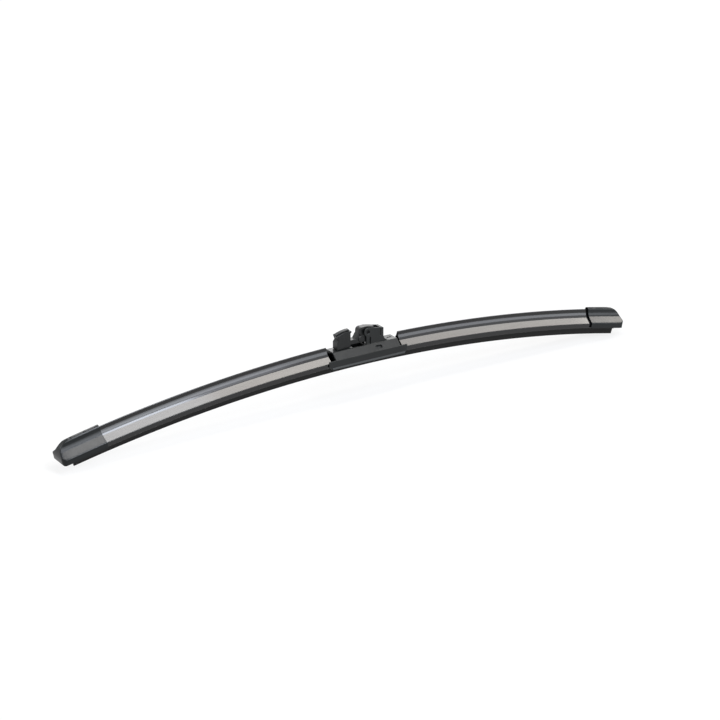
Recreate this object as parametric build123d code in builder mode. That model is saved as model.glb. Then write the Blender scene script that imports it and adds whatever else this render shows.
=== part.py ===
from build123d import *
import os
from math import cos, degrees, sin

os.makedirs("parts", exist_ok=True)

# A flat wiper blade with its arm connector. X runs along the blade, -Y is the windward side and +Z points
# away from the glass. The origin is the axis of the arm pivot, on the blade's middle plane.
# Distances along the blade are measured on the wiping lip from the blade's middle, heights from the lip.

# Blade as a whole
blade_half = 262.3  # middle of the blade to the tip of an end cap
lip_radius = 1270.0  # camber of the unloaded blade, along the lip
pivot_height = 28.0  # pivot axis above the lip
pivot_offset = 4.7  # pivot axis to the right of the blade's middle
connector_offset = 1.5  # middle of the connector to the right of the blade's middle

# Spring rails, two flat strips that lie in the grooves of the rubber
rail_inset = 8.7  # the rails end this far before the end caps' end walls
rail_width = 5.6
rail_thickness = 1.0
rail_clearance = 0.1

# Wiper rubber, one extrusion with a wiping lip, shoulders, a tilting neck and a grooved head
rubber_play = 6.4  # spare length in the left end cap; at the right the rubber is pushed home
lip_thickness = 0.8
lip_root = 1.9
lip_height = 4.6
shoulder_width = 5.6
shoulder_slope = 0.5
shoulder_height = 1.1
neck_width = 1.3
neck_height = 1.2
foot_width = 6.4  # flange of the head under the rails
foot_height = 1.0
web_width = 2.8  # web of the head between the rails
bead_width = 5.8  # flange of the head above the rails
bead_height = 1.3

# Spoilers, a fin with hollow flanks on a sloping skirt that clips round the rails
spoiler_gap = 2.8  # between the connector's saddle and the spoilers
spoiler_overlap = 11.5  # length inside the end caps
ridge_height = 21.8
ridge_radius = 0.5
flank_hollow = 0.45  # depth of the hollow in the fin's flanks
crease_width = 7.0  # foot of the fin
crease_height = 15.3
brim_width = 17.6  # lower edge of the sloping skirt
brim_height = 11.3
hem_width = 16.8  # underside of the spoiler
claw_thickness = 0.8
claw_gap = 10.8  # opening between the claws
bead_clearance = 0.3

# End caps
cap_length = 36.4
cap_wall = 1.2
cap_clearance = 0.3  # round the spoiler in its pocket
cap_end_clearance = 0.3  # beyond the ends of the spoiler and the rubber
cap_end_wall = 3.9
mouth_relief = 0.7  # wider gap round the spoiler at the cap's mouth
mouth_depth = 1.5
nose_run = 12.8  # the fin of the cap starts to fall this far before the tip
nose_height = 12.4  # end wall of the cap
nose_corner = 4.0
nose_round = 1.4  # lower edge of the end wall

# Connector base, a straight saddle over the rails
base_half = 36.5  # side walls
crown_half = 30.2  # the saddle between them
base_width = 20.4
base_bottom = 6.1
base_shoulder = 13.1  # top of the side walls
deck_height = 18.0
deck_width = 10.0
base_round = 0.7
base_wall = 2.2
side_wall = 1.1
side_bevel = 2.6
rim_height = 1.6  # rim along the foot of the side walls, with a sloping top
rim_edge = 0.5
rim_reach = 0.7
rail_ledge = 1.4  # hold of the saddle over the rails
dimple_length = 6.0  # moulded dimple on each slope
dimple_width = 2.6
dimple_depth = 1.6
dimple_place = 8.0
deck_slot_length = 4.0  # slot in the deck to the right of the fork
deck_slot_width = 1.0
deck_slot_gap = 0.8
window_length = 11.0  # opening in the deck under the adapter's neck
window_width = 7.4
window_corner = 1.0
window_gap = 1.2  # from the fork's cheeks

# Pivot fork on the base
fork_width = 8.4
fork_slot = 6.1
fork_left = 1.6  # left edge of the cheeks, from the pivot
fork_right = 14.6
fork_end_wall = 3.0
ear_radius = 3.6
fork_fall = 2.3  # the cheeks' top edge falls this much to the right
fork_foot = 5.0  # radius of the hollow at the fork's foot
slit_place = 2.1
slit_width = 0.9
slit_height = 5.5
groove_place = 3.0  # upright groove in each cheek, from its right edge
groove_width = 0.6
groove_depth = 0.4

# Pivot pin
pin_diameter = 3.0
pin_recess = 0.8  # below the cheeks' outer faces
pin_press = 0.02
pivot_clearance = 0.05

# Arm adapter, one moulding that swings on the pin
adapter_clearance = 0.3  # between the cheeks, and over the deck
head_left = 7.9
head_right = 6.8
head_top = 4.6
head_fall = 1.4
head_drop = 7.8  # underside of the head and of its neck
head_round = 3.0  # upper edge of the head's left end
gusset_run = 2.8  # slope from the head's left end down to its neck
gusset_top = 0.4
neck_rise = 3.7
recess_length = 3.6  # hollow in each side of the head
recess_height = 4.4
recess_corner = 0.9
recess_depth = 0.8
recess_place = 3.9
recess_rise = 0.4
boss_diameter = 4.2
boss_reach = 0.8
boss_place = 6.1
boss_drop = 4.6
latch_left = 28.2
latch_step = 21.8  # the latch block narrows here
latch_right = 15.3
latch_width = 6.6
latch_top = 3.5
latch_top_left = 1.6
latch_bulge = 3.8  # top of the bulge under the notch, below the pivot
latch_notch = 1.5
latch_notch_drop = 2.1
hook_reach = 0.8  # hook at the block's upper right edge
hook_height = 1.5
tongue_width = 3.3
tongue_gap = 0.5
tongue_length = 12.1
tongue_lip = 0.6
tongue_rise_left = 0.9
tongue_rise_right = 1.5
tongue_arch = 0.6
tongue_slot_depth = 6.0

# Values worked out from the sizes above
blade_middle = -pivot_offset
connector_middle = blade_middle + connector_offset
camber_z = -pivot_height - lip_radius
camber_axis = Axis((blade_middle, 0, camber_z), (0, 1, 0))

shoulder_bottom = lip_height + shoulder_slope
shoulder_top = shoulder_bottom + shoulder_height
neck_top = shoulder_top + neck_height
groove_bottom = neck_top + foot_height
groove_top = groove_bottom + rail_thickness + 2 * rail_clearance
bead_top = groove_top + bead_height
rail_inner = web_width / 2 + rail_clearance
rail_outer = rail_inner + rail_width
slot_half = rail_outer + rail_clearance
spoiler_bottom = groove_bottom - claw_thickness
bead_channel = bead_width / 2 + bead_clearance
channel_top = bead_top + bead_clearance

channel_end = blade_half - cap_end_wall
rubber_right = channel_end - cap_end_clearance
rubber_left = rubber_play - rubber_right
rail_half = channel_end - rail_inset

cap_mouth = blade_half - cap_length
cap_growth = cap_clearance + cap_wall
cap_top = ridge_height + cap_growth
cap_width = brim_width + 2 * cap_growth
spoiler_outer = cap_mouth + spoiler_overlap
spoiler_inner = crown_half + spoiler_gap

side_half = base_width / 2
deck = deck_height - pivot_height
fork_half = fork_width / 2
fork_inner = fork_slot / 2
adapter_half = fork_inner - adapter_clearance
adapter_foot = deck + adapter_clearance


def station(distance):
    # Plane of the blade's cross-section at a distance from its middle: local x is +Y, local y is height
    turn = distance / lip_radius
    return Plane(
        origin=(blade_middle + lip_radius * sin(turn), 0, camber_z + lip_radius * cos(turn)),
        x_dir=(0, 1, 0),
        z_dir=(cos(turn), 0, -sin(turn)),
    )


def along(section, start, end, mode=Mode.ADD):
    # Carries a cross-section along the camber from one distance to another
    turn = degrees((end - start) / lip_radius)
    revolve(section(station(start)), axis=camber_axis, revolution_arc=turn, mode=mode)


def symmetric_section(plane, half_outline):
    # Face whose outline is given for one side of the middle plane, from its foot to its top
    with BuildSketch(plane) as section:
        with BuildLine():
            Polyline(*half_outline)
            mirror(about=Plane.YZ)
        make_face()
    return section.sketch


def rubber_section(plane):
    return symmetric_section(
        plane,
        [
            (0, 0),
            (lip_thickness / 2, 0),
            (lip_root / 2, lip_height),
            (shoulder_width / 2, shoulder_bottom),
            (shoulder_width / 2, shoulder_top),
            (neck_width / 2, shoulder_top),
            (neck_width / 2, neck_top),
            (foot_width / 2, neck_top),
            (foot_width / 2, groove_bottom),
            (web_width / 2, groove_bottom),
            (web_width / 2, groove_top),
            (bead_width / 2, groove_top),
            (bead_width / 2, bead_top),
            (0, bead_top),
        ],
    )


def rail_section(plane):
    # The windward rail, in the groove on the -Y side
    with BuildSketch(plane) as section:
        with Locations((-rail_inner, groove_bottom + rail_clearance)):
            Rectangle(rail_width, rail_thickness, align=(Align.MAX, Align.MIN))
    return section.sketch


def channel_section(plane):
    # Room for the rails and the rubber's head, open downwards between two claws
    return symmetric_section(
        plane,
        [
            (0, 0),
            (claw_gap / 2, 0),
            (claw_gap / 2, groove_bottom),
            (slot_half, groove_bottom),
            (slot_half, groove_top),
            (bead_channel, groove_top),
            (bead_channel, channel_top),
            (0, channel_top),
        ],
    )


def grown_section(plane, growth):
    # Outer form of the spoiler, grown all round
    crease = (crease_width / 2, crease_height)
    brim = (brim_width / 2, brim_height)
    hem = (hem_width / 2, spoiler_bottom)
    ridge_side = (ridge_radius, ridge_height - ridge_radius)
    with BuildSketch(plane) as section:
        with BuildLine():
            RadiusArc((0, ridge_height), ridge_side, ridge_radius)
            SagittaArc(ridge_side, crease, -flank_hollow)
            Polyline(crease, brim, hem, (0, spoiler_bottom))
            mirror(about=Plane.YZ)
        make_face()
        if growth:
            offset(amount=growth)
    return section.sketch


def spoiler_section(plane):
    return grown_section(plane, 0)


def pocket_section(plane):
    return grown_section(plane, cap_clearance)


def mouth_section(plane):
    return grown_section(plane, cap_clearance + mouth_relief)


def cap_section(plane):
    # Outer form of the end caps, level with the spoilers underneath
    with BuildSketch(plane) as section:
        add(plane.to_local_coords(grown_section(plane, cap_growth)))
        with Locations((0, spoiler_bottom)):
            Rectangle(cap_width, spoiler_bottom, align=(Align.CENTER, Align.MAX), mode=Mode.SUBTRACT)
    return section.sketch


# Wiper rubber
with BuildPart() as wiper_rubber:
    along(rubber_section, rubber_left, rubber_right)

# Spring rails, windward and leeward
with BuildPart() as rail_front:
    along(rail_section, -rail_half, rail_half)

with BuildPart() as rail_rear:
    mirror(rail_front.part, about=Plane.XZ)

# Spoilers, clipped over the rails on each side of the connector
with BuildPart() as spoiler_left:
    along(spoiler_section, -spoiler_outer, connector_offset - spoiler_inner)
    along(channel_section, -spoiler_outer, connector_offset - spoiler_inner, Mode.SUBTRACT)

with BuildPart() as spoiler_right:
    along(spoiler_section, connector_offset + spoiler_inner, spoiler_outer)
    along(channel_section, connector_offset + spoiler_inner, spoiler_outer, Mode.SUBTRACT)

# End caps: a straight sleeve of the spoiler's form with a falling nose, closed beyond the rubber's end
with BuildPart() as end_cap_right:
    cap_middle = station(blade_half - cap_length / 2)
    extrude(cap_section(cap_middle), amount=cap_length / 2, both=True)
    cap_tip = cap_middle.offset(cap_length / 2)
    tip_side = Plane(origin=cap_tip.origin, x_dir=cap_tip.z_dir, z_dir=(0, -1, 0))
    with BuildSketch(tip_side):
        with BuildLine():
            nose_start = (-nose_run, cap_top)
            TangentArc(nose_start, (0, nose_height), tangent=(1, 0))
            Polyline((0, nose_height), (nose_run, nose_height), (nose_run, cap_top + nose_run), nose_start)
        make_face()
        with Locations((0, spoiler_bottom)):
            Rectangle(nose_round, nose_round, align=(Align.MAX, Align.MIN))
        with Locations((-nose_round, spoiler_bottom + nose_round)):
            Circle(nose_round, mode=Mode.SUBTRACT)
    extrude(amount=cap_width, both=True, mode=Mode.SUBTRACT)
    tip_plan = Plane(origin=cap_tip.origin, x_dir=cap_tip.z_dir, z_dir=cap_tip.y_dir)
    with BuildSketch(tip_plan) as nose_plan:
        Rectangle(cap_length, cap_width, align=(Align.MAX, Align.CENTER))
        fillet(nose_plan.vertices().group_by(Axis.X)[-1], nose_corner)
    extrude(amount=cap_top, mode=Mode.INTERSECT)
    along(mouth_section, cap_mouth - cap_end_clearance, cap_mouth + mouth_depth, Mode.SUBTRACT)
    along(pocket_section, cap_mouth - cap_end_clearance, spoiler_outer + cap_end_clearance, Mode.SUBTRACT)
    along(channel_section, cap_mouth - cap_end_clearance, channel_end, Mode.SUBTRACT)

with BuildPart() as end_cap_left:
    mirror(end_cap_right.part, about=Plane.YZ.offset(blade_middle))

# Connector base: saddle, side walls and pivot fork
base_end = Plane(origin=(connector_middle, 0, -pivot_height), x_dir=(0, 1, 0), z_dir=(1, 0, 0))
with BuildPart() as connector_base:
    with BuildSketch(base_end) as saddle:
        with BuildLine():
            Polyline(
                (0, base_bottom),
                (side_half, base_bottom),
                (side_half, base_shoulder),
                (deck_width / 2, deck_height),
                (0, deck_height),
            )
            mirror(about=Plane.YZ)
        make_face()
        fillet(saddle.vertices().group_by(Axis.Y)[1:], base_round)
    extrude(amount=crown_half, both=True)
    # Side walls reach past the saddle and flank the spoilers' ends
    for side in (-1, 1):
        with BuildSketch(Plane.XZ.offset(-side * side_half)) as wall:
            with Locations((connector_middle, base_bottom - pivot_height)):
                Rectangle(2 * base_half, base_shoulder - base_bottom, align=(Align.CENTER, Align.MIN))
            chamfer(wall.vertices().group_by(Axis.Y)[0], side_bevel)
        extrude(amount=side * side_wall)
    # Rim along the foot of each side wall
    with BuildSketch(base_end):
        with BuildLine():
            Polyline(
                (side_half, base_bottom),
                (side_half + rim_reach, base_bottom),
                (side_half + rim_reach, base_bottom + rim_edge),
                (side_half, base_bottom + rim_height),
                close=True,
            )
        make_face()
        mirror(about=Plane.YZ)
    extrude(amount=base_half - side_bevel, both=True)
    # Hollow of the saddle, over the rubber's head
    core_half = slot_half - rail_ledge
    with BuildSketch(base_end) as core:
        with BuildLine():
            Polyline(
                (0, groove_top),
                (core_half, groove_top),
                (core_half, base_shoulder),
                ((deck_width - base_wall) / 2, deck_height - base_wall),
                (0, deck_height - base_wall),
            )
            mirror(about=Plane.YZ)
        make_face()
    extrude(amount=crown_half, both=True, mode=Mode.SUBTRACT)
    along(channel_section, connector_offset - base_half, connector_offset + base_half, Mode.SUBTRACT)
    # Dimples in the two slopes
    slope_run = (base_width - deck_width) / 2
    slope_fall = deck_height - base_shoulder
    for side in (-1, 1):
        slope_middle = side * (base_width + deck_width) / 4
        slope_plane = Plane(
            origin=(dimple_place, slope_middle, deck - slope_fall / 2),
            x_dir=(1, 0, 0),
            z_dir=(0, side * slope_fall, slope_run),
        )
        with BuildSketch(slope_plane):
            SlotOverall(dimple_length, dimple_width)
        extrude(amount=-dimple_depth, mode=Mode.SUBTRACT)
    # Fork with round ears about the pivot and a hollow foot to the right
    fork_root = deck - base_wall / 2
    foot_right = fork_right + fork_foot
    with BuildSketch(Plane.XZ):
        with BuildLine():
            foot_top = (fork_right, deck + fork_foot)
            foot_end = (foot_right, deck)
            Polyline(foot_end, (foot_right, fork_root), (-fork_left, fork_root), (-fork_left, 0), (0, 0))
            Polyline((0, 0), (0, ear_radius), (fork_right, ear_radius - fork_fall), foot_top)
            RadiusArc(foot_top, foot_end, -fork_foot)
        make_face()
        Circle(ear_radius)
        Circle(pin_diameter / 2 + pin_press, mode=Mode.SUBTRACT)
        with Locations((slit_place, deck)):
            Rectangle(slit_width, slit_height, align=(Align.CENTER, Align.MIN), mode=Mode.SUBTRACT)
    extrude(amount=fork_half, both=True)
    with BuildSketch(Plane.XY.offset(deck)):
        with Locations((-ear_radius, 0)):
            slot_length = fork_right - fork_end_wall + ear_radius
            Rectangle(slot_length, fork_slot, align=(Align.MIN, Align.CENTER))
    extrude(amount=ear_radius - deck, mode=Mode.SUBTRACT)
    for side in (-1, 1):
        with BuildSketch(Plane.XZ.offset(-side * fork_half)):
            with Locations((fork_right - groove_place, deck + fork_foot)):
                Rectangle(groove_width, ear_radius - deck, align=(Align.CENTER, Align.MIN))
        extrude(amount=side * groove_depth, mode=Mode.SUBTRACT)
    # Slot through the deck beyond the fork's foot
    with BuildSketch(Plane.XY.offset(deck)):
        with Locations((foot_right + deck_slot_gap, 0)):
            Rectangle(deck_slot_length, deck_slot_width, align=(Align.MIN, Align.CENTER))
    extrude(amount=-base_wall, mode=Mode.SUBTRACT)
    # Window in the deck, open to the saddle's hollow
    with BuildSketch(Plane.XY.offset(deck)):
        with Locations((-fork_left - window_gap, 0)):
            RectangleRounded(window_length, window_width, window_corner, align=(Align.MAX, Align.CENTER))
    extrude(amount=-base_wall, mode=Mode.SUBTRACT)

# Pivot pin
with BuildPart() as pivot_pin:
    with BuildSketch(Plane.XZ):
        Circle(pin_diameter / 2)
    extrude(amount=fork_half - pin_recess, both=True)

# Arm adapter: head on the pin, neck and latch block with its spring tongue
with BuildPart() as arm_adapter:
    with BuildSketch(Plane.XZ) as head:
        with BuildLine():
            Polyline(
                (-head_left, -head_drop),
                (-head_left - gusset_run, neck_rise - head_drop),
                (-head_left, gusset_top),
                (-head_left, head_top),
                (0, head_top),
                (head_right, head_top - head_fall),
                (head_right, 0),
                (head_right - head_drop / 2, -head_drop),
                close=True,
            )
        make_face()
        fillet(head.vertices().group_by(Axis.Y)[-1].sort_by(Axis.X)[0], head_round)
    extrude(amount=adapter_half, both=True)
    # Neck under the head and the narrow half of the latch block
    with BuildSketch(Plane.XZ):
        with Locations((-latch_step, -head_drop)):
            Rectangle(latch_step, neck_rise, align=(Align.MIN, Align.MIN))
        with Locations((-latch_step, adapter_foot)):
            Rectangle(latch_step - latch_right, latch_top - adapter_foot, align=(Align.MIN, Align.MIN))
        with Locations((-latch_step, latch_top)):
            Rectangle(latch_step - latch_right + hook_reach, hook_height, align=(Align.MIN, Align.MAX))
    extrude(amount=adapter_half, both=True)
    with BuildSketch(Plane.XZ):
        with BuildLine():
            Polyline(
                (-latch_left, adapter_foot),
                (-latch_left, -latch_bulge),
                (-latch_left + latch_notch, -latch_notch_drop),
                (-latch_left, latch_top_left),
                (-latch_step, latch_top),
                (-latch_step, adapter_foot),
                close=True,
            )
        make_face()
    extrude(amount=latch_width / 2, both=True)
    # Slots beside the spring tongue, then the tongue's raised back
    tongue_end = -latch_left + tongue_length
    slot_offset = (tongue_width + tongue_gap) / 2
    with BuildSketch(Plane.XY.offset(latch_top)):
        with Locations((-latch_left, -slot_offset), (-latch_left, slot_offset)):
            Rectangle(tongue_length, tongue_gap, align=(Align.MIN, Align.CENTER))
    extrude(amount=-tongue_slot_depth, mode=Mode.SUBTRACT)
    with BuildSketch(Plane.XZ):
        with BuildLine():
            tongue_start = (-latch_left, latch_top_left + tongue_rise_left)
            tongue_tip = (tongue_end, latch_top + tongue_rise_right)
            SagittaArc(tongue_start, tongue_tip, tongue_arch)
            Polyline(
                tongue_tip,
                (tongue_end, latch_top),
                (-latch_step, latch_top),
                (-latch_left, latch_top_left),
                (-latch_left - tongue_lip, latch_top_left),
                tongue_start,
            )
        make_face()
    extrude(amount=tongue_width / 2, both=True)
    # Hollows and round bosses in the sides
    for side in (-1, 1):
        with BuildSketch(Plane.XZ.offset(-side * adapter_half)):
            with Locations((-recess_place, recess_rise)):
                RectangleRounded(recess_length, recess_height, recess_corner)
        extrude(amount=side * recess_depth, mode=Mode.SUBTRACT)
        with BuildSketch(Plane.XZ.offset(-side * adapter_half)):
            with Locations((-boss_place, -boss_drop)):
                Circle(boss_diameter / 2)
        extrude(amount=-side * boss_reach)
    with Locations(Plane.XZ):
        Hole(pin_diameter / 2 + pivot_clearance)

pieces = {
    "wiper_rubber": wiper_rubber,
    "rail_front": rail_front,
    "rail_rear": rail_rear,
    "spoiler_left": spoiler_left,
    "spoiler_right": spoiler_right,
    "end_cap_left": end_cap_left,
    "end_cap_right": end_cap_right,
    "connector_base": connector_base,
    "pivot_pin": pivot_pin,
    "arm_adapter": arm_adapter,
}
for name, piece in pieces.items():
    piece.part.label = name
    export_step(piece.part, f"parts/{name}.step")
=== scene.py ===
import bmesh
import bpy
import numpy as np
from mathutils import Matrix, Vector


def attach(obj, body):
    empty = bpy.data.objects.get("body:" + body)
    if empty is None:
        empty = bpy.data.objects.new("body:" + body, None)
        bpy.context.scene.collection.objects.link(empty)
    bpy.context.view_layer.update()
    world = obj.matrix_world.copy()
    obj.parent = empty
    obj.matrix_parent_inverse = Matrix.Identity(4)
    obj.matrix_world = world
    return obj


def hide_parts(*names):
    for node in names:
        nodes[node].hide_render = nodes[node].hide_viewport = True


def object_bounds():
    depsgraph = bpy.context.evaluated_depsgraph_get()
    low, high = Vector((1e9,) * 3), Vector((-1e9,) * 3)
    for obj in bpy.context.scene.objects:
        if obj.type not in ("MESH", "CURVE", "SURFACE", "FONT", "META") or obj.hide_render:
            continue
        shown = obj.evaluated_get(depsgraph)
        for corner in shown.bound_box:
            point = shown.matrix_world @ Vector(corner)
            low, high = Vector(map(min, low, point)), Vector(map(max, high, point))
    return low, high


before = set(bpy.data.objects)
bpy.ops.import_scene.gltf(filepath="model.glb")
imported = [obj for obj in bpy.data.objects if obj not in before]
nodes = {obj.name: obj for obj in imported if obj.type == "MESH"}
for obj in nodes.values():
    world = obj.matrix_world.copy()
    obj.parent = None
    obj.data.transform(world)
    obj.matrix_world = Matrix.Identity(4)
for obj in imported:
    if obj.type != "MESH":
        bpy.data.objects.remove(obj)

cadBox = [list(corner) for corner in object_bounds()]
mm = 0.001
print("frame loaded:", len(nodes), "nodes")

# surfaces

# the blade's camber in mm: a circle about an axis along Y, far below the glass
camber = {"radius": 1270.0, "middle": -4.7, "lipLevel": -28.0}

# how finely outlines become meshes: points on a rounded corner, lengths in mm, an angle in degrees,
# and the cosine of a corner that counts as straight
meshing = {"cornerSteps": 6, "longestEdge": 0.6, "samePoint": 1e-6, "sharpAngle": 32, "straight": 0.9999}


def alongCamber(distance, across, height):
    # the lip circle grown by the height and turned by distance / radius; mm in, metres out
    turn = distance / camber["radius"]
    reach = camber["radius"] + height
    x = camber["middle"] + reach * np.sin(turn)
    z = camber["lipLevel"] - camber["radius"] + reach * np.cos(turn)
    return np.stack([x, across + 0 * x, z], axis=-1) * mm


def roundedPath(corners, radii, steps=meshing["cornerSteps"]):
    # each corner of an open path gives way to a quadratic curve between the points one tangent length away:
    # (1-u)^2 start + 2u(1-u) corner + u^2 end, for all corners at once
    corners = np.asarray(corners, float)
    before = np.roll(corners, 1, axis=0) - corners
    after = np.roll(corners, -1, axis=0) - corners
    before /= np.linalg.norm(before, axis=1, keepdims=True)
    after /= np.linalg.norm(after, axis=1, keepdims=True)
    cosine = np.clip((before * after).sum(1), -meshing["straight"], meshing["straight"])
    tangent = np.asarray(radii, float) * np.sqrt((1 + cosine) / (1 - cosine))
    tangent[[0, -1]] = 0  # the two ends stay where they are
    start = corners + before * tangent[:, None]
    end = corners + after * tangent[:, None]
    u = np.linspace(0, 1, steps)[None, :, None]
    curve = (1 - u) ** 2 * start[:, None] + 2 * u * (1 - u) * corners[:, None] + u ** 2 * end[:, None]
    curve = curve.reshape(-1, 2)
    gap = np.linalg.norm(np.diff(curve, axis=0), axis=1)
    return curve[np.append(gap > meshing["samePoint"], True)]


def spread(path):
    # long straight runs are split evenly, so that a flat face keeps flat shading up to its rounded edge
    run = np.diff(path, axis=0)
    count = np.ceil(np.linalg.norm(run, axis=1) / meshing["longestEdge"]).astype(int)
    index = np.repeat(np.arange(len(run)), count)
    u = (np.arange(count.sum()) - (np.cumsum(count) - count)[index]) / count[index]
    return np.vstack([path[index] + run[index] * u[:, None], path[-1:]])


def footToFoot(half):
    # a half outline from the middle plane outwards becomes one path from the +Y end to the -Y end
    half = np.asarray(half, float)
    return np.vstack([half[::-1], half[1:] * [-1, 1]])


def resampled(path, run, count):
    # the path's points read off at even steps of the run, a measure that grows along the path
    even = np.linspace(0, run[-1], count)
    return np.stack([np.interp(even, run, path[:, axis]) for axis in (0, 1)], -1)


def evenPath(path, count):
    # the same path with its points at equal spacing
    lengths = np.linalg.norm(np.diff(path, axis=0), axis=1)
    return resampled(path, np.concatenate([[0], np.cumsum(lengths)]), count)


def loftedPiece(name, rings, sharpAngle=meshing["sharpAngle"]):
    # rings: count x points x 3; neighbours are joined by quads, and each end ring is closed by one face
    count, points = rings.shape[:2]
    row = np.arange(points)
    step = (np.arange(count - 1) * points)[:, None]
    after = np.roll(row, -1)
    quads = np.stack([row + step, after + step, after + step + points, row + step + points], -1)
    ends = [row[::-1].tolist(), (row + (count - 1) * points).tolist()]
    places = rings.reshape(-1, 3)
    mesh = bpy.data.meshes.new(name)
    mesh.from_pydata(places.tolist(), [], quads.reshape(-1, 4).tolist() + ends)
    # the signed volume tells whether the faces point outwards
    mesh.calc_loop_triangles()
    corner = np.empty(len(mesh.loop_triangles) * 3, np.int32)
    mesh.loop_triangles.foreach_get("vertices", corner)
    first, second, third = places[corner].reshape(-1, 3, 3).swapaxes(0, 1)
    if (first * np.cross(second, third)).sum() < 0:
        mesh.flip_normals()
    mesh.polygons.foreach_set("use_smooth", np.ones(len(mesh.polygons), bool))
    mesh.set_sharp_from_angle(angle=np.radians(sharpAngle))
    piece = bpy.data.objects.new(name, mesh)
    bpy.context.scene.collection.objects.link(piece)
    return piece


def sweptPiece(name, half, span, stations):
    # the closed section carried along the camber
    loop = spread(footToFoot(half))[:-1]
    distance = np.linspace(*span, stations)[:, None]
    return loftedPiece(name, alongCamber(distance, loop[None, :, 0], loop[None, :, 1]))


def dress(piece, finish, node, body):
    piece.data.materials.clear()
    piece.data.materials.append(finish)
    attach(piece, body)
    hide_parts(node)


# materials

# how every finish is patterned: octaves of the drift and their fade, the part of its range that is used,
# and octaves of the grain
pattern = {"driftDetail": 3.0, "driftFade": 0.55, "driftRange": (0.3, 0.7), "grainDetail": 2.0}


def linear(hexColour):
    # sRGB hex to linear RGBA: a straight toe for the darkest values, a power above it
    value = np.array([int(hexColour[i:i + 2], 16) for i in (1, 3, 5)]) / 255
    value = np.where(value <= 0.04045, value / 12.92, ((value + 0.055) / 1.055) ** 2.4)
    return (*value.tolist(), 1.0)


def add(tree, kind, settings=None, links=None):
    # adds one node, sets its options or sockets by name, and links its sockets to other nodes' outputs
    node = tree.nodes.new(kind)
    for key, value in (settings or {}).items():
        if isinstance(key, str) and hasattr(node, key):
            setattr(node, key, value)
        else:
            node.inputs[key].default_value = value
    for key, output in (links or {}).items():
        tree.links.new(output, node.inputs[key])
    return node


def newMaterial(name):
    material = bpy.data.materials.new(name)
    material.use_nodes = True
    material.node_tree.nodes.clear()
    return material, material.node_tree


def surfaceMaterial(look):
    # a body colour that drifts between two shades, a roughness that drifts with it, and a fine bump
    material, tree = newMaterial(look["name"])
    place = add(tree, "ShaderNodeTexCoord")
    driftMap = add(tree, "ShaderNodeMapping", {"Scale": [1 / (mm * size) for size in look["driftSize"]]},
                   {"Vector": place.outputs["Object"]})
    drift = add(tree, "ShaderNodeTexNoise",
                {"Scale": 1.0, "Detail": pattern["driftDetail"], "Roughness": pattern["driftFade"]},
                {"Vector": driftMap.outputs["Vector"]})
    # sockets 6 and 7 are the two colours that are mixed
    shade = add(tree, "ShaderNodeMix",
                {"data_type": "RGBA", 6: linear(look["dark"]), 7: linear(look["light"])},
                {0: drift.outputs["Fac"]})
    gloss = add(tree, "ShaderNodeMapRange",
                {"From Min": pattern["driftRange"][0], "From Max": pattern["driftRange"][1],
                 "To Min": look["roughness"][0], "To Max": look["roughness"][1]},
                {"Value": drift.outputs["Fac"]})
    grainMap = add(tree, "ShaderNodeMapping", {"Scale": [1 / (mm * size) for size in look["grainSize"]]},
                   {"Vector": place.outputs["Object"]})
    grain = add(tree, "ShaderNodeTexNoise", {"Scale": 1.0, "Detail": pattern["grainDetail"]},
                {"Vector": grainMap.outputs["Vector"]})
    bump = add(tree, "ShaderNodeBump", {"Strength": look["bump"], "Distance": look["grainDepth"] * mm},
               {"Height": grain.outputs["Fac"]})
    shader = add(tree, "ShaderNodeBsdfPrincipled",
                 {"Metallic": look["metallic"], "IOR": look["ior"], "Specular IOR Level": look["specular"]},
                 {"Base Color": shade.outputs[2], "Roughness": gloss.outputs["Result"],
                  "Normal": bump.outputs["Normal"]})
    add(tree, "ShaderNodeOutputMaterial", None, {"Surface": shader.outputs["BSDF"]})
    return material


# sizes of the drift and grain are in mm along X, Y and Z; the mouldings' grain is drawn coarser than the
# real one, so that it shows

# extruded elastomer, wiped smooth by the die: near black, with a clear semi-gloss and faint lines along it
spoilerFinish = surfaceMaterial({
    "name": "extrudedElastomerSemiGloss", "dark": "#08080a", "light": "#0e0e0f",
    "roughness": (0.11, 0.14), "ior": 1.5, "specular": 0.475, "metallic": 0.0,
    "driftSize": (90.0, 3.0, 3.0), "grainSize": (60.0, 0.5, 0.5), "grainDepth": 0.01, "bump": 0.05})

# ABS caps from a fine-eroded mould: dark cool grey with a satin sheen over a fine even grain
capFinish = surfaceMaterial({
    "name": "mouldedAbsSatin", "dark": "#16191a", "light": "#1c1f20",
    "roughness": (0.15, 0.2), "ior": 1.5, "specular": 0.225, "metallic": 0.0,
    "driftSize": (14.0, 14.0, 14.0), "grainSize": (0.5, 0.5, 0.5), "grainDepth": 0.03, "bump": 0.12})

# glass-filled nylon saddle: blacker than the caps, its sheen broken by the fibres just under the skin
baseFinish = surfaceMaterial({
    "name": "mouldedNylonDull", "dark": "#111313", "light": "#191b1b",
    "roughness": (0.3, 0.4), "ior": 1.5, "specular": 0.3, "metallic": 0.0,
    "driftSize": (14.0, 14.0, 14.0), "grainSize": (0.5, 0.5, 0.5), "grainDepth": 0.03, "bump": 0.15})

# acetal: a shade blacker than the base that it swings in, with about the same soft sheen
adapterFinish = surfaceMaterial({
    "name": "mouldedAcetalSatin", "dark": "#111212", "light": "#181919",
    "roughness": (0.32, 0.42), "ior": 1.48, "specular": 0.31, "metallic": 0.0,
    "driftSize": (9.0, 9.0, 9.0), "grainSize": (0.5, 0.5, 0.5), "grainDepth": 0.03, "bump": 0.2})

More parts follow.
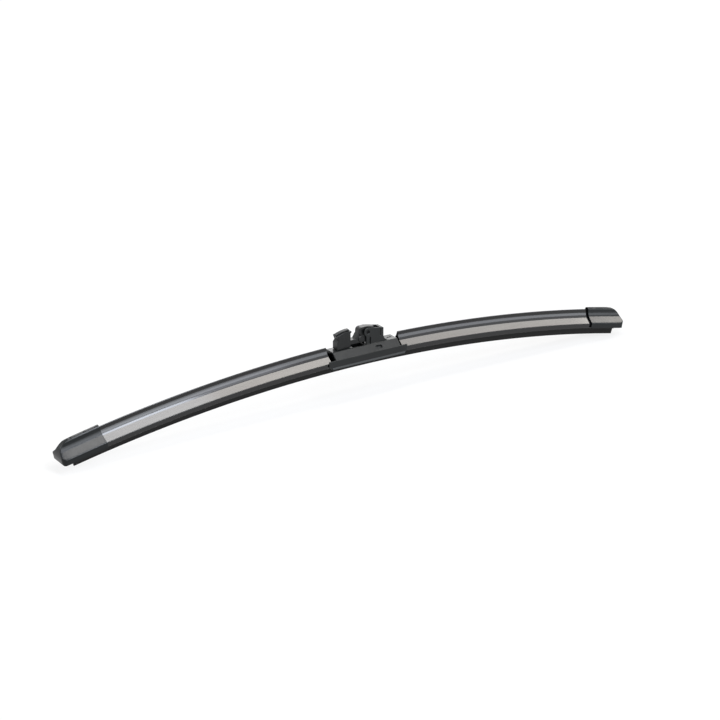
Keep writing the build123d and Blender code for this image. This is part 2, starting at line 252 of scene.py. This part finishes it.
# graphite-dusted natural rubber: black and dull, with fine lines along the extrusion
rubberFinish = surfaceMaterial({
    "name": "graphitedRubberMatt", "dark": "#060606", "light": "#0c0c0b",
    "roughness": (0.45, 0.58), "ior": 1.52, "specular": 0.2, "metallic": 0.0,
    "driftSize": (40.0, 2.0, 2.0), "grainSize": (30.0, 0.4, 0.4), "grainDepth": 0.03, "bump": 0.3})

# rolled spring steel strip: grey, drawn out along its length by the rolls
railFinish = surfaceMaterial({
    "name": "rolledSpringSteel", "dark": "#6f7072", "light": "#8b8c8e",
    "roughness": (0.28, 0.4), "ior": 1.5, "specular": 0.5, "metallic": 1.0,
    "driftSize": (30.0, 1.0, 1.0), "grainSize": (8.0, 0.15, 0.15), "grainDepth": 0.01, "bump": 0.3})

# blackened steel pin, its colour darkened further as painted shade for the bottom of its hole
pinFinish = surfaceMaterial({
    "name": "blackenedSteelPinWithPaintedShade", "dark": "#1b1b1c", "light": "#29292a",
    "roughness": (0.35, 0.45), "ior": 1.5, "specular": 0.5, "metallic": 1.0,
    "driftSize": (1.5, 1.5, 1.5), "grainSize": (0.2, 2.0, 0.2), "grainDepth": 0.01, "bump": 0.2})
print("materials made")

# spoilers: a fin with hollow flanks on a sloping skirt, with claws and a channel underneath
# in mm; crease, brim and hem are points (across, height) of the section, spans are along the camber
spoiler = {"ridge": 21.8, "ridgeRadius": 0.5, "hollow": 0.45, "crease": (3.5, 15.3), "creaseRound": 0.2,
           "brim": (8.8, 11.3), "brimRound": 0.3, "hem": (8.4, 7.6), "hemRound": 0.25,
           "clawInner": 5.4, "grooveFloor": 8.4, "grooveTop": 9.6, "slotHalf": 7.2,
           "beadHalf": 3.2, "channelTop": 11.2, "arcPoints": 15, "flankPoints": 22,
           "leftSpan": (-237.4, -31.5), "rightSpan": (34.5, 237.4), "stations": 130}


def outward(step):
    # unit normal of a run that goes down the +Y side of a section
    return np.array([-step[1], step[0]]) / np.hypot(*step)


def grownHalf(room, ridgeRadius, sideTurn, hollow):
    # the spoiler's outer half outline moved outwards by the room, from a ridge of that radius to the hem;
    # a corner between two runs moves by room (n1 + n2) / (1 + n1.n2), with n1 and n2 the runs' normals
    ridge, ownRadius = spoiler["ridge"], spoiler["ridgeRadius"]
    crease, brim, hem = (np.array(spoiler[key]) for key in ("crease", "brim", "hem"))
    chord = crease - [ownRadius, ridge - ownRadius]
    flankNormal = outward(chord + 4 * spoiler["hollow"] * outward(chord))  # of the bowed flank, at its foot
    facetNormal, wallNormal = outward(brim - crease), outward(hem - brim)
    angle = np.radians(np.linspace(90, sideTurn, spoiler["arcPoints"]))
    arc = [0, ridge + room - ridgeRadius] + ridgeRadius * np.stack([np.cos(angle), np.sin(angle)], -1)
    foot = crease + room * (flankNormal + facetNormal) / (1 + flankNormal @ facetNormal)
    edge = brim + room * (facetNormal + wallNormal) / (1 + facetNormal @ wallNormal)
    base = hem + [room / wallNormal[0], 0]
    # the flank is a straight run bowed inwards by a parabola, 4u(1-u) times the hollow
    u = np.linspace(0, 1, spoiler["flankPoints"])[1:, None]
    run = foot - arc[-1]
    flank = arc[-1] + run * u - outward(run) * hollow * 4 * u * (1 - u)
    return np.vstack([arc, flank, edge, base])


def channelHalf():
    # half outline of the channel that holds rails and rubber, from its roof at the middle plane to the hem
    roof, bead, slot, claw = (spoiler[key] for key in ("channelTop", "beadHalf", "slotHalf", "clawInner"))
    top, floor, hem = spoiler["grooveTop"], spoiler["grooveFloor"], spoiler["hem"][1]
    return np.array([(0, roof), (bead, roof), (bead, top), (slot, top),
                     (slot, floor), (claw, floor), (claw, hem)])


def spoilerHalf():
    # the outer half outline from ridge to hem, then the channel from the hem back to the middle plane
    outer = grownHalf(0, spoiler["ridgeRadius"], 0, spoiler["hollow"])
    inner = channelHalf()[::-1]
    radii = np.zeros(len(outer) + len(inner))
    radii[len(outer) - 3:len(outer)] = [spoiler[key] for key in ("creaseRound", "brimRound", "hemRound")]
    return roundedPath(np.vstack([outer, inner]), radii)


for side in ("left", "right"):
    piece = sweptPiece("spoilerSkin" + side.capitalize(), spoilerHalf(), spoiler[side + "Span"],
                       spoiler["stations"])
    dress(piece, spoilerFinish, "spoiler_" + side, "blade")
print("spoilers swept")

# rubber: wiping lip, shoulders, tilting neck and grooved head
# in mm; widths are halves, heights are above the lip, the span is along the camber
rubber = {"lip": 0.4, "lipRoot": 0.95, "lipHeight": 4.6, "shoulder": 2.8, "shoulderFloor": 5.1,
          "shoulderTop": 6.2, "neck": 0.65, "neckTop": 7.4, "foot": 3.2, "grooveFloor": 8.4, "web": 1.4,
          "grooveTop": 9.6, "bead": 2.9, "beadTop": 10.9, "cornerRound": 0.15, "cornerSteps": 4,
          "span": (-251.7, 258.1), "stations": 180}


def rubberHalf():
    # down the +Y side from the top of the head to the wiping edge
    bead, web, foot, neck = (rubber[key] for key in ("bead", "web", "foot", "neck"))
    beadTop, top, floor = rubber["beadTop"], rubber["grooveTop"], rubber["grooveFloor"]
    neckTop, shoulder, shoulderTop = rubber["neckTop"], rubber["shoulder"], rubber["shoulderTop"]
    corners = [(0, beadTop), (bead, beadTop), (bead, top), (web, top), (web, floor), (foot, floor),
               (foot, neckTop), (neck, neckTop), (neck, shoulderTop), (shoulder, shoulderTop),
               (shoulder, rubber["shoulderFloor"]), (rubber["lipRoot"], rubber["lipHeight"]),
               (rubber["lip"], 0), (0, 0)]
    radii = np.full(len(corners), rubber["cornerRound"])
    radii[-2] = 0  # the wiping edge is cut, not moulded
    return roundedPath(corners, radii, rubber["cornerSteps"])


rubberPiece = sweptPiece("rubberBlade", rubberHalf(), rubber["span"], rubber["stations"])
dress(rubberPiece, rubberFinish, "wiper_rubber", "blade")
print("rubber swept")

# end caps: the spoiler's outline grown by the cap's wall, with a rounded nose
# in mm and degrees; the tip is a distance along the camber, and the ends are distances from the tip
cap = {"tip": 262.3, "length": 36.4, "growth": 1.5, "ridgeRadius": 2.3, "hollow": 0.28, "sideTurn": 6.0,
       "creaseRound": 0.5, "brimRound": 1.5, "cornerSteps": 9, "sharpAngle": 38,
       "mouthRoom": 1.0, "mouthDepth": 1.5, "pocketRoom": 0.3, "pocketEnd": 24.6, "channelEnd": 3.9,
       "noseRun": 12.8, "noseHeight": 12.4, "noseCorner": 4.0, "noseRound": 1.4, "noseSoften": 0.6,
       "cornerSoften": 0.25, "noseLead": (1.0, 0.5), "insidePoints": 97,
       "rings": {"mouth": 3, "pocket": 4, "channel": 4, "nose": 26, "tip": 34}}


def softMin(a, b, width):
    # the smaller of two values, with the corner between them rounded over the width
    return 0.5 * (a + b - np.sqrt((a - b) ** 2 + width ** 2))


def quarter(radius, run):
    # height of a quarter circle of that radius above its foot, over a run that starts at the foot
    return np.sqrt(np.maximum(radius ** 2 - np.clip(radius - run, 0, None) ** 2, 0))


def capOutside():
    # one path from hem to hem over the ridge
    half = grownHalf(cap["growth"], cap["ridgeRadius"], cap["sideTurn"], cap["hollow"])
    radii = np.zeros(len(half))
    radii[-3:-1] = cap["creaseRound"], cap["brimRound"]
    return spread(footToFoot(roundedPath(half, radii, cap["cornerSteps"])))


def capInsides(outer):
    # insides of as many points each, with the distances from the tip at which their rings stand:
    # flared mouth, pocket for the spoiler, channel for the rubber, and a flat floor under the solid tip
    count, rings = cap["insidePoints"], cap["rings"]
    ridgeRadius, sideTurn, hollow = spoiler["ridgeRadius"], cap["sideTurn"], spoiler["hollow"]
    mouth, pocket = (evenPath(footToFoot(grownHalf(room, ridgeRadius + room, sideTurn, hollow)), count)
                     for room in (cap["mouthRoom"], cap["pocketRoom"]))
    channel = footToFoot(channelHalf())
    channel = resampled(channel, np.arange(len(channel)), count)  # every corner of the channel is kept
    floor = np.linspace(outer[0], outer[-1], count)
    mouthEnd = cap["length"] - cap["mouthDepth"]
    beforeNose, noseStart = (cap["noseRun"] + lead for lead in cap["noseLead"])
    return [(mouth, np.linspace(cap["length"], mouthEnd, rings["mouth"])),
            (pocket, np.linspace(mouthEnd, cap["pocketEnd"], rings["pocket"])),
            (channel, np.linspace(cap["pocketEnd"], beforeNose, rings["channel"])),
            (channel, np.linspace(noseStart, cap["channelEnd"], rings["nose"])),
            (floor, cap["channelEnd"] * (1 - np.sin(np.linspace(0, np.pi / 2, rings["tip"]))))]


def capRings():
    # each ring goes over the outside and back along the inside, then the nose cuts it down
    outer = capOutside()
    spans = capInsides(outer)
    fromTip = np.concatenate([run for inside, run in spans])
    inside = np.concatenate([np.repeat(inside[None, ::-1], len(run), 0) for inside, run in spans])
    rings = np.concatenate([np.repeat(outer[None], len(fromTip), 0), inside], 1)
    across, height = rings[..., 0], rings[..., 1]
    # nose: the top is held under a circle that leaves the ridge level and ends at the end wall's height
    top = spoiler["ridge"] + cap["growth"]
    drop = top - cap["noseHeight"]
    radius = (cap["noseRun"] ** 2 + drop ** 2) / (2 * drop)
    beyond = np.clip(cap["noseRun"] - fromTip, 0, None)
    limit = top - radius + np.sqrt(radius ** 2 - beyond ** 2) + np.maximum(fromTip - cap["noseRun"], 0)
    height = softMin(height, limit[:, None], cap["noseSoften"])
    # plan corners and the lower edge of the end wall: quarter circles
    wide = outer[:, 0].max() - cap["noseCorner"] + quarter(cap["noseCorner"], fromTip)
    wide = wide + np.maximum(fromTip - cap["noseCorner"], 0)
    across = np.sign(across) * softMin(np.abs(across), wide[:, None], cap["cornerSoften"])
    bottom = spoiler["hem"][1] + cap["noseRound"] - quarter(cap["noseRound"], fromTip)
    return fromTip, across, np.maximum(height, bottom[:, None])


def capPiece(name, side):
    # the cap is straight: its rings stand along the tangent at its own middle
    fromTip, across, height = capRings()
    turn = (cap["tip"] - cap["length"] / 2) / camber["radius"]
    along = np.array([np.cos(turn), 0, -np.sin(turn)])
    up = np.array([np.sin(turn), 0, np.cos(turn)])
    middle = np.array([0, 0, camber["lipLevel"] - camber["radius"]]) + camber["radius"] * up
    rings = middle + along * (cap["length"] / 2 - fromTip)[:, None, None] + up * height[..., None]
    rings[..., 1] += across
    rings[..., 0] = camber["middle"] + side * rings[..., 0]
    return loftedPiece(name, rings * mm, cap["sharpAngle"])


for side, sign in (("left", -1), ("right", 1)):
    piece = capPiece("capShell" + side.capitalize(), sign)
    dress(piece, capFinish, "end_cap_" + side, "blade")
print("end caps lofted")

# connector: the solids' own forms with moulded edges, in mm and degrees
moulded = {"baseEdge": 0.3, "adapterEdge": 0.25, "segments": 2, "mergeWithin": 0.001, "flatWithin": 0.5,
           "sharpFrom": 25, "bevelFrom": 40}


def softenedCopy(name, width):
    # a merged copy of a solid's own mesh: flat faces joined up, edges rounded by a bevel
    mesh = nodes[name].data.copy()
    work = bmesh.new()
    work.from_mesh(mesh)
    bmesh.ops.remove_doubles(work, verts=work.verts, dist=moulded["mergeWithin"] * mm)
    bmesh.ops.dissolve_limit(work, angle_limit=np.radians(moulded["flatWithin"]), verts=work.verts,
                             edges=work.edges)
    work.normal_update()
    for face in work.faces:
        face.smooth = True
    for edge in work.edges:
        edge.smooth = bool(edge.calc_face_angle(0) < np.radians(moulded["sharpFrom"]))
    work.to_mesh(mesh)
    work.free()
    piece = bpy.data.objects.new(name + "Soft", mesh)
    bpy.context.scene.collection.objects.link(piece)
    bevel = piece.modifiers.new("edges", "BEVEL")
    bevel.width = width * mm
    bevel.segments = moulded["segments"]
    bevel.limit_method = "ANGLE"
    bevel.angle_limit = np.radians(moulded["bevelFrom"])
    bevel.use_clamp_overlap = False
    flat = piece.modifiers.new("flatFaces", "WEIGHTED_NORMAL")  # large faces shade flat up to their bevels
    flat.keep_sharp = True
    return piece


basePiece = softenedCopy("connector_base", moulded["baseEdge"])
dress(basePiece, baseFinish, "connector_base", "blade")
adapterPiece = softenedCopy("arm_adapter", moulded["adapterEdge"])
dress(adapterPiece, adapterFinish, "arm_adapter", "adapter")
for name, finish in (("pivot_pin", pinFinish), ("rail_front", railFinish), ("rail_rear", railFinish)):
    nodes[name].data.materials.clear()
    nodes[name].data.materials.append(finish)
print("connector finished")

# studio, in metres; the floor's glow grows with the distance from a point in front of the blade
studio = {"floorDrop": 0.0005, "floorHalf": 6.0, "floorColour": "#6c6c6c", "floorGlow": (0.77, 1.02),
          "glowFrom": (0.15, -0.4, 0.0), "glowReach": (0.3, 1.2), "worldFill": 0.1, "worldSeen": 1.0}
white = (1, 1, 1, 1)


def seenDirectly(tree):
    # 1 where a camera, mirror or see-through ray looks, 0 for the light that falls on things
    rays = add(tree, "ShaderNodeLightPath")
    first = add(tree, "ShaderNodeMath", {"operation": "MAXIMUM"},
                {0: rays.outputs["Is Camera Ray"], 1: rays.outputs["Is Glossy Ray"]})
    return add(tree, "ShaderNodeMath", {"operation": "MAXIMUM"},
               {0: first.outputs[0], 1: rays.outputs["Is Transmission Ray"]})


# white paper sweep: bright where it is looked at, with the blade's shadow left on it
paper, tree = newMaterial("paperSweepWhite")
seen = seenDirectly(tree)
place = add(tree, "ShaderNodeTexCoord")
away = add(tree, "ShaderNodeVectorMath", {"operation": "DISTANCE", 1: studio["glowFrom"]},
           {0: place.outputs["Object"]})
ramp = add(tree, "ShaderNodeMapRange",
           {"From Min": studio["glowReach"][0], "From Max": studio["glowReach"][1],
            "To Min": studio["floorGlow"][0], "To Max": studio["floorGlow"][1]},
           {"Value": away.outputs["Value"]})
glow = add(tree, "ShaderNodeMath", {"operation": "MULTIPLY"},
           {0: seen.outputs[0], 1: ramp.outputs["Result"]})
emit = add(tree, "ShaderNodeEmission", {"Color": white}, {"Strength": glow.outputs[0]})
matt = add(tree, "ShaderNodeBsdfDiffuse", {"Color": linear(studio["floorColour"])})
both = add(tree, "ShaderNodeAddShader", None, {0: emit.outputs[0], 1: matt.outputs[0]})
add(tree, "ShaderNodeOutputMaterial", None, {"Surface": both.outputs[0]})

reach = studio["floorHalf"]
level = cadBox[0][2] - studio["floorDrop"]
floorCorners = [(-reach, -reach, level), (reach, -reach, level),
                (reach, reach, level), (-reach, reach, level)]
floorMesh = bpy.data.meshes.new("paperSweep")
floorMesh.from_pydata(floorCorners, [], [(0, 1, 2, 3)])
floorMesh.materials.append(paper)
floorPiece = bpy.data.objects.new("paperSweep", floorMesh)
bpy.context.scene.collection.objects.link(floorPiece)

# world: white where it is looked at, a weak fill for the light that falls on things
world = bpy.data.worlds.new("whiteStudio")
bpy.context.scene.world = world
world.use_nodes = True
tree = world.node_tree
tree.nodes.clear()
seen = seenDirectly(tree)
strength = add(tree, "ShaderNodeMapRange", {"To Min": studio["worldFill"], "To Max": studio["worldSeen"]},
               {"Value": seen.outputs[0]})
sky = add(tree, "ShaderNodeBackground", {"Color": white}, {"Strength": strength.outputs["Result"]})
add(tree, "ShaderNodeOutputWorld", None, {"Surface": sky.outputs[0]})

# lamps: place and the point faced in metres, size, brightness of the face, colour,
# and for the overhead strips a turn in degrees about the lamp's own axis
lamps = {
    "overheadLeft": {"place": (0.08, -0.127, 0.6), "aim": (0.08, -0.127, 0.0), "turn": 5.9,
                     "size": (0.57, 0.08), "face": 11.07, "colour": "#fffaf4"},
    "overheadEnd": {"place": (-0.09, -0.144, 0.595), "aim": (-0.09, -0.144, 0.0), "turn": 5.9,
                    "size": (0.3, 0.08), "face": 2.52, "colour": "#d4e6ff"},
    "overheadRight": {"place": (0.805, -0.053, 0.6), "aim": (0.805, -0.053, 0.0), "turn": 5.9,
                      "size": (0.88, 0.08), "face": 7.6, "colour": "#fffaf4"},
    "rightEnd": {"place": (1.33, -0.01, 0.6), "aim": (0.2, 0.0, 0.0),
                 "size": (0.2, 0.4), "face": 4.05, "colour": "#fffaf4"},
    "frontStrip": {"place": (0.68, -1.02, 0.55), "aim": (0.68, 0.0, 0.0),
                   "size": (2.0, 0.42), "face": 4.05, "colour": "#f2f7ff"},
    "frontFill": {"place": (0.55, -0.46, 0.62), "aim": (0.45, 0.0, 0.0),
                  "size": (1.6, 0.46), "face": 0.65, "colour": "#f2f7ff"},
    "leftBox": {"place": (-0.025, -0.485, 0.61), "aim": (-0.025, 0.0, 0.0),
                "size": (0.25, 0.24), "face": 15.75, "colour": "#eef4ff"},
    "leftFill": {"place": (0.1, -0.73, 0.6), "aim": (0.1, 0.0, 0.0),
                 "size": (0.55, 0.45), "face": 2.79, "colour": "#eef4ff"},
    "leftEnd": {"place": (-1.0, 0.5, 0.38), "aim": (-0.25, 0.0, -0.03),
                "size": (0.8, 0.5), "face": 2.6, "colour": "#f4f8ff"},
    "rearBox": {"place": (0.72, 1.05, 0.5), "aim": (0.0, 0.0, 0.0),
                "size": (0.6, 0.3), "face": 5.0, "colour": "#ffffff"},
    "rearFar": {"place": (-0.04, 0.8, 0.62), "aim": (-0.24, 0.0, -0.04),
                "size": (0.14, 0.42), "face": 5.0, "colour": "#ffffff"},
    "rearLeft": {"place": (-0.165, 0.2, 0.62), "aim": (-0.2, 0.0, 0.0),
                 "size": (0.14, 0.5), "face": 4.86, "colour": "#ffffff"},
}
for name, lamp in lamps.items():
    light = bpy.data.lights.new(name, "AREA")
    light.shape = "RECTANGLE"
    light.size, light.size_y = lamp["size"]
    light.energy = lamp["face"] * np.pi * light.size * light.size_y  # watts that give that face brightness
    light.color = linear(lamp["colour"])[:3]
    holder = bpy.data.objects.new(name, light)
    facing = (Vector(lamp["aim"]) - Vector(lamp["place"])).to_track_quat("-Z", "Y").to_matrix().to_4x4()
    roll = Matrix.Rotation(np.radians(lamp.get("turn", 0)), 4, "Z")
    holder.matrix_world = Matrix.Translation(lamp["place"]) @ facing @ roll
    holder.visible_camera = False
    bpy.context.scene.collection.objects.link(holder)

# camera fitted to the photograph: turned about the blade, looking down, from a long lens
# turns in degrees, distance, aim and nearest in metres, lens and sensor in mm
shot = {"turn": 33.254, "lookDown": 21.433, "distance": 1.61126, "aim": (-0.00489, 0.0, -0.02364),
        "lens": 102.36, "sensor": 36.0, "nearest": 0.05}
turn, down = np.radians(shot["turn"]), np.radians(shot["lookDown"])
back = np.array([-np.sin(turn) * np.cos(down), -np.cos(turn) * np.cos(down), np.sin(down)])
right = np.array([np.cos(turn), -np.sin(turn), 0.0])
pose = np.eye(4)
pose[:3, :3] = np.stack([right, np.cross(back, right), back], axis=1)
pose[:3, 3] = np.array(shot["aim"]) + back * shot["distance"]
camera = bpy.data.cameras.new("productCamera")
camera.sensor_width = shot["sensor"]
camera.lens = shot["lens"]
camera.clip_start = shot["nearest"]
cameraHolder = bpy.data.objects.new("productCamera", camera)
cameraHolder.matrix_world = Matrix(pose.tolist())
bpy.context.scene.collection.objects.link(cameraHolder)
bpy.context.scene.camera = cameraHolder
bpy.context.scene.view_settings.view_transform = "Standard"
print("studio set")
